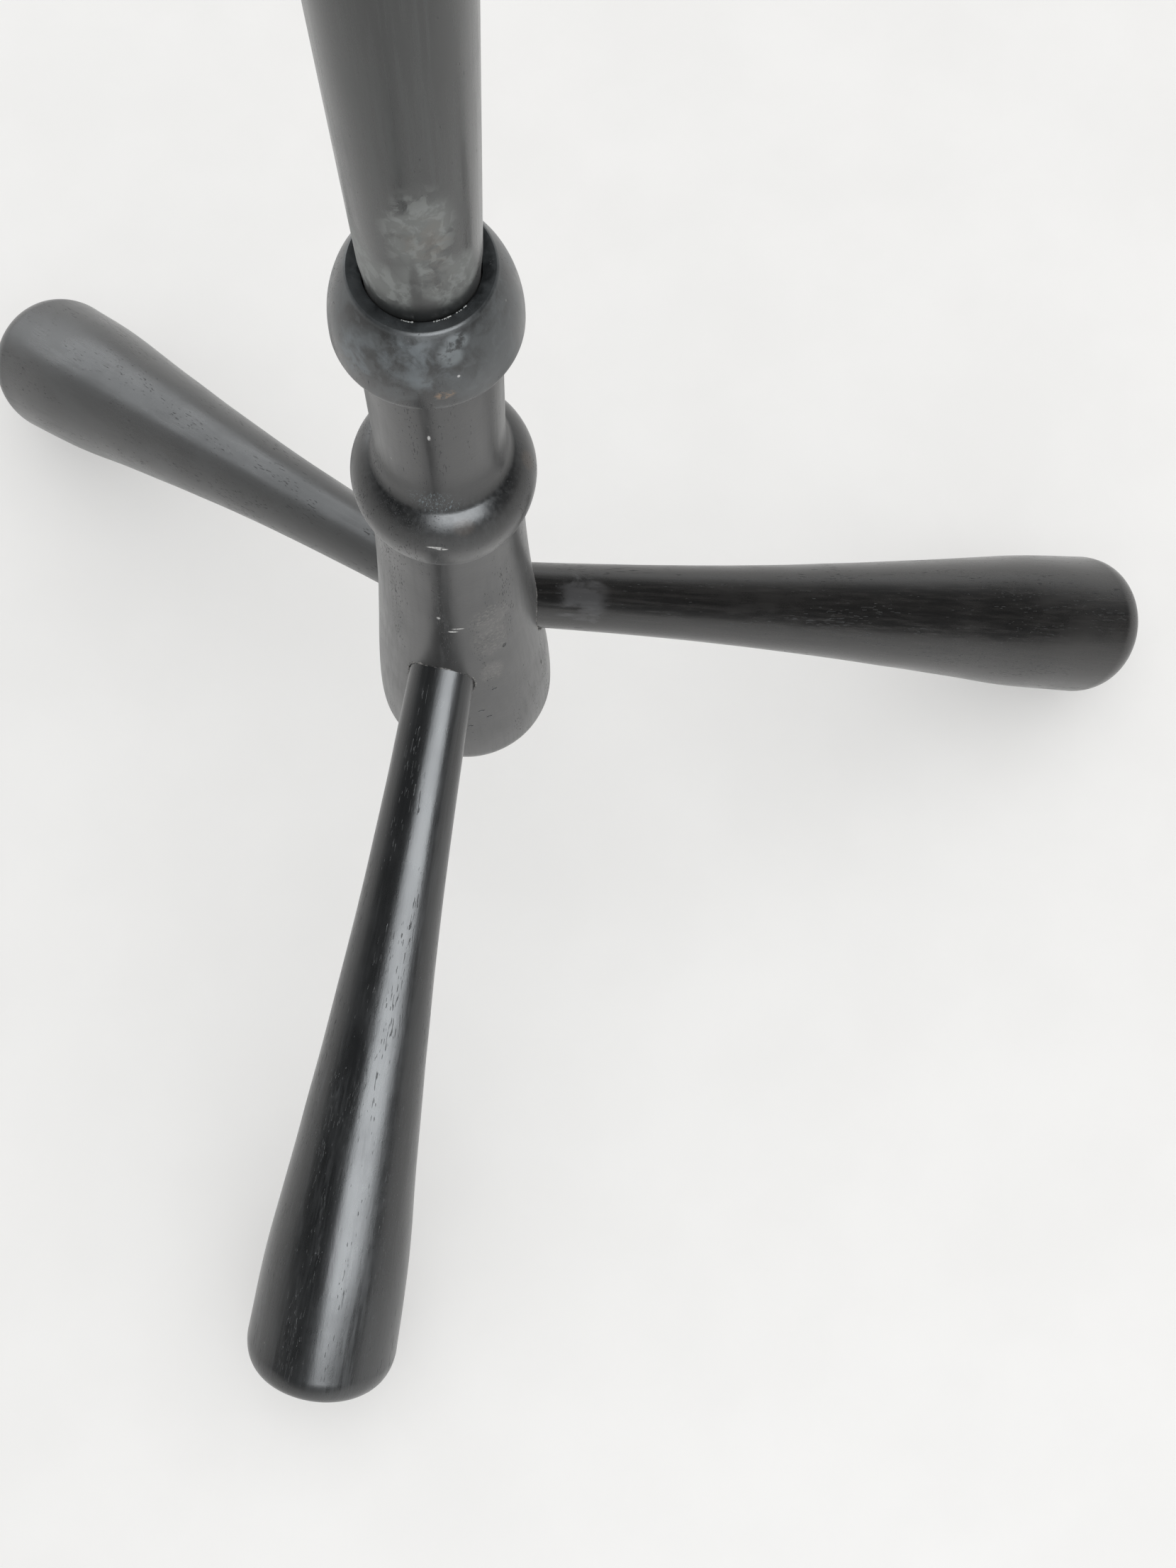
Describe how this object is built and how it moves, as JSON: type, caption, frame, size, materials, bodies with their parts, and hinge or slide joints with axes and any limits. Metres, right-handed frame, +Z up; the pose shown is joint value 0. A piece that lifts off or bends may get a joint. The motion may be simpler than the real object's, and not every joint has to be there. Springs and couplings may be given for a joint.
{
  "type": "trumpet stand",
  "caption": "Tall turned wooden floor stand: club legs let into a hanging hub, beaded column, loose round post in a socket, and a felt-ringed cone for a trumpet's bell.",
  "frame": {"origin": "on the floor, under the middle of the stand's footprint", "axes": "+Z up along the column and post, the front leg points to -Y"},
  "size_m": [0.7214, 0.607, 0.9302],
  "materials": {
    "ebonised_column": "ebonised open grain, satin, worn paler at the edges",
    "ebonised_collar": "ebonised, satin, chalky grey smudges",
    "ebonised_post": "ebonised, satin, grey-green, chalky near its foot",
    "ebonised_cone": "ebonised, satin",
    "ebonised_leg": "ebonised open grain, half gloss, worn streaks",
    "bare_wood": "unfinished",
    "felt": "pressed wool felt",
    "steel": "plain"
  },
  "bodies": {
    "base": {"hub_column": "ebonised_column", "collar_bead": "ebonised_collar", "leg_front": "ebonised_leg", "tenon_wedge_front": "bare_wood", "foot_pad_front": "felt", "foot_nail_front": "steel", "leg_right": "ebonised_leg", "tenon_wedge_right": "bare_wood", "foot_pad_right": "felt", "foot_nail_right": "steel", "leg_left": "ebonised_leg", "tenon_wedge_left": "bare_wood", "foot_pad_left": "felt", "foot_nail_left": "steel"},
    "seat": {"seat_washer": "felt"},
    "post": {"upper_post": "ebonised_post", "cone_washer": "felt", "cone_dowel": "bare_wood", "bell_cone": "ebonised_cone", "bell_ring_lower": "felt", "bell_ring_upper": "felt"}
  },
  "joints": [
    {"name": "post_swivel", "type": "hinge", "parent": "base", "child": "seat", "pos_m": [-0.01603, 0.08443, 0.5523], "axis": [0, 0, 1], "continuous": true},
    {"name": "post_lift", "type": "slide", "parent": "seat", "child": "post", "axis": [0, 0, 1], "range_m": [0, 0.095]}
  ]
}
